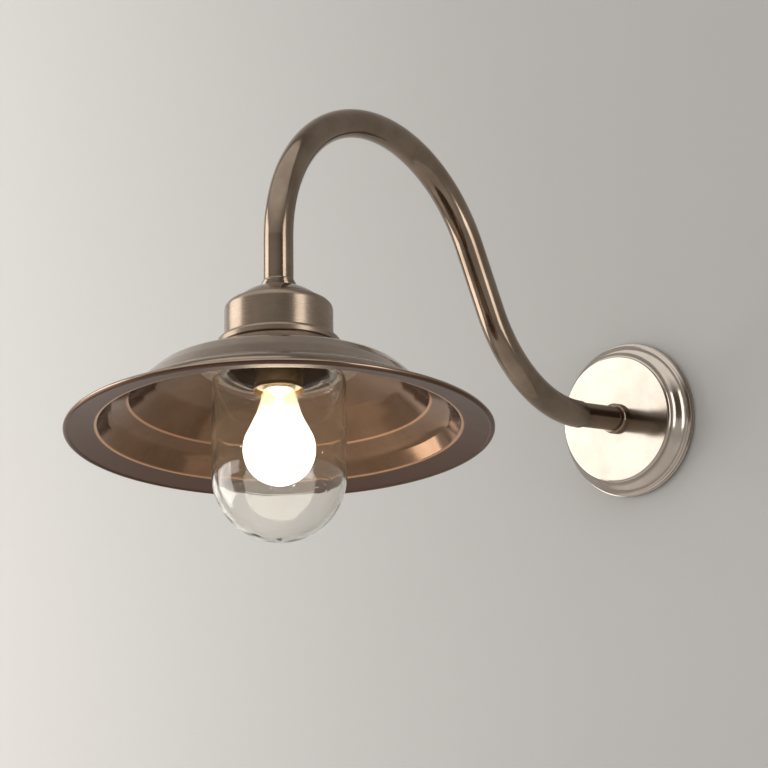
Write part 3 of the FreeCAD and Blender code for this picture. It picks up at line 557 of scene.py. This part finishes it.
@dataclass
class SoftBox:
    """A soft rectangular lamp."""

    name: str
    place: Colour
    aim: Colour
    size: tuple[float, float]
    glow: float
    colour: Colour = (1.0, 0.975, 0.94)

    def build(self) -> None:
        """Adds the lamp and points it."""
        data = bpy.data.lights.new(self.name, "AREA")
        data.shape = "RECTANGLE"
        data.size, data.size_y = self.size
        data.energy = self.glow * self.size[0] * self.size[1] * math.pi
        data.color = self.colour
        lamp = bpy.data.objects.new(self.name, data)
        bpy.context.scene.collection.objects.link(lamp)
        lamp.location = self.place
        facing = Vector(self.aim) - Vector(self.place)
        lamp.rotation_euler = facing.to_track_quat("-Z", "Y").to_euler()
        lamp.visible_camera = False
        log.info("lamp %s", self.name)


@dataclass
class Studio:
    """The wall, the floor, the lamps and the camera."""

    focal_px: float = 3876.237
    azimuth: float = 36.647
    pitch: float = 10.923
    roll: float = -7.02
    place: Colour = (1.933307, -2.971553, -0.620074)
    frame_px: int = 768
    sensor: float = 36.0
    wall_colour: Colour = (0.66, 0.66, 0.655)
    # Lighter and darker wall colours: painted light and painted shade.
    wall_painted_light: Colour = (0.80, 0.78, 0.75)
    wall_painted_shade: Colour = (0.50, 0.495, 0.485)
    floor_height: float = -1.6
    room_far: Colour = (0.11, 0.09, 0.075)
    room_near: Colour = (0.26, 0.235, 0.21)
    room_top: Colour = (1.2, 1.18, 1.15)
    boxes: list[SoftBox] = field(default_factory=lambda: [
        SoftBox("left_box", (-1.87, -1.24, 0.25), (0.0, -0.52, 0.0), (1.38, 2.2), 3.3),
        SoftBox("right_box", (2.3, -0.55, 0.2), (0.0, -0.50, 0.0), (0.85, 2.0), 3.2),
        SoftBox("front_box", (-1.50, -2.05, 0.52), (0.0, 0.0, 0.0), (0.85, 0.55), 2.2),
    ])

    def build(self) -> None:
        """Builds the whole studio."""
        self.build_wall()
        self.build_floor()
        self.build_world()
        for box in self.boxes:
            box.build()
        self.build_camera()

    def build_wall(self) -> None:
        """Adds the wall, seen from its front only; its colour carries painted light and painted shade."""
        deselect_all()
        bpy.ops.mesh.primitive_plane_add(size=12.0, location=(0.0, 0.001, 0.0), rotation=(math.pi / 2, 0, 0))
        wall = bpy.context.object
        wall.name = "studio_wall"
        material, make, shader = new_material("studio_wall")
        mottled = make.noise(1.1, 2.0)
        x, _, z = make.split(make.place())
        slant = z + x * 0.12
        # Painted shade: a band of the wall is painted darker, standing in for the lamps' falloff and the
        # light's own soft shadow.
        painted_shade_band = slant.ramp(-0.27, 0.02) * slant.ramp(0.40, 0.12) * x.ramp(-1.0, 0.1, 0.25, 1.0)
        # Painted light: the wall's colour is mixed towards a lighter one along its slant.
        colour = make.mix(slant.ramp(0.1, -0.35), self.wall_colour, self.wall_painted_light)
        colour = make.mix(painted_shade_band, colour, self.wall_painted_shade)
        colour = make.mix(mottled.ramp(0.3, 0.7) * 0.25, colour, tuple(c * 0.9 for c in self.wall_colour))
        feed(make, shader, Base_Color=colour, Roughness=0.9, Specular_IOR_Level=0.0)
        clear = make.node("ShaderNodeBsdfTransparent", {}, {})
        behind = make.node("ShaderNodeNewGeometry", {}, {}, "Backfacing")
        seen = make.node("ShaderNodeMixShader", {}, {0: behind, 1: Value(make, shader.outputs[0]), 2: clear})
        output = next(n for n in make.tree.nodes if n.type == "OUTPUT_MATERIAL")
        make.tree.links.new(seen.socket, output.inputs[0])
        dress(wall, material)

    def build_floor(self) -> None:
        """Adds the pale floor far below the light."""
        deselect_all()
        bpy.ops.mesh.primitive_plane_add(size=30.0, location=(0.0, 0.0, self.floor_height))
        floor = bpy.context.object
        floor.name = "studio_floor"
        material, make, shader = new_material("studio_floor")
        mottled = make.noise(1.3, 2.0)
        colour = make.mix(mottled, (0.72, 0.71, 0.70), (0.66, 0.65, 0.64))
        feed(make, shader, Base_Color=colour, Roughness=0.9, Specular_IOR_Level=0.0)
        dress(floor, material)

    def build_world(self) -> None:
        """Lights the room softly from above; every ray sees the same room."""
        world = bpy.data.worlds.new("room")
        bpy.context.scene.world = world
        world.use_nodes = True
        tree = world.node_tree
        tree.nodes.clear()
        make = NodeMaker(tree)
        x, y, z = make.split(make.node("ShaderNodeTexCoord", {}, {}, "Generated"))
        ahead = (x * -0.45 - y * 0.89).ramp(0.70, 0.97)
        room = make.mix(ahead, self.room_far, self.room_near)
        room = make.mix(z.ramp(0.35, 0.75), room, self.room_top)
        light = make.node("ShaderNodeBackground", {}, {"Color": room, "Strength": 1.0})
        output = tree.nodes.new("ShaderNodeOutputWorld")
        tree.links.new(light.socket, output.inputs[0])

    def build_camera(self) -> None:
        """Sets the camera at the photograph's place and angle."""
        a, e, r = (math.radians(v) for v in (self.azimuth, self.pitch, self.roll))
        right = Vector((math.cos(a), math.sin(a), 0.0))
        ahead = Vector((-math.sin(a) * math.cos(e), math.cos(a) * math.cos(e), math.sin(e)))
        above = right.cross(ahead)
        side = right * math.cos(r) + above * math.sin(r)
        top = above * math.cos(r) - right * math.sin(r)
        data = bpy.data.cameras.new("camera")
        data.sensor_width = self.sensor
        data.lens = self.focal_px * self.sensor / self.frame_px
        data.clip_start, data.clip_end = 0.05, 100.0
        camera = bpy.data.objects.new("camera", data)
        bpy.context.scene.collection.objects.link(camera)
        turned = Matrix((side, top, -ahead)).transposed().to_4x4()
        camera.matrix_world = Matrix.Translation(self.place) @ turned
        bpy.context.scene.camera = camera


ASSEMBLIES: tuple[SubAssembly, ...] = (
    SubAssembly("wall fittings", (
        "wall_bracket", "wall_gasket", "stub_washer", "stub_front_nut", "stub_rear_nut", "rose_cover",
        "rose_lock_ring", "arm_stub", "terminal_block", "terminal_screws", "earth_screw", "earth_nut",
        "core_wires")),
    SubAssembly("arm", ("swan_neck_arm", "inner_flex", "arm_end_bush", "hollow_nipple")),
    SubAssembly("head", ("head_body", "dome_cap", "head_collar", "head_locknut", "shade_gasket")),
    SubAssembly("shade", ("shade", "shade_clamp_ring")),
    SubAssembly("lampholder", (
        "holder_cap", "holder_shell", "holder_insert", "screw_shell", "centre_contact", "holder_locknut")),
    SubAssembly("jar", ("glass_jar", "jar_gasket"), "jar"),
    SubAssembly("bulb", (
        "bulb_envelope", "bulb_cap", "bulb_insulator", "bulb_contact", "bulb_stem", "bulb_filaments"), "bulb"),
)


def main() -> None:
    """Dresses the light and sets up the studio."""
    logging.basicConfig(level=logging.INFO, format="%(name)s: %(message)s")
    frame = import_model()
    view = bpy.context.scene.view_settings
    view.view_transform = "Standard"
    wardrobe = {name: finish.build() for name, finish in FINISHES.items()}
    for assembly in ASSEMBLIES:
        assembly.dress_nodes(frame, wardrobe)
        assembly.build_pieces(wardrobe)
    Studio().build()


if __name__ == "__main__":
    main()
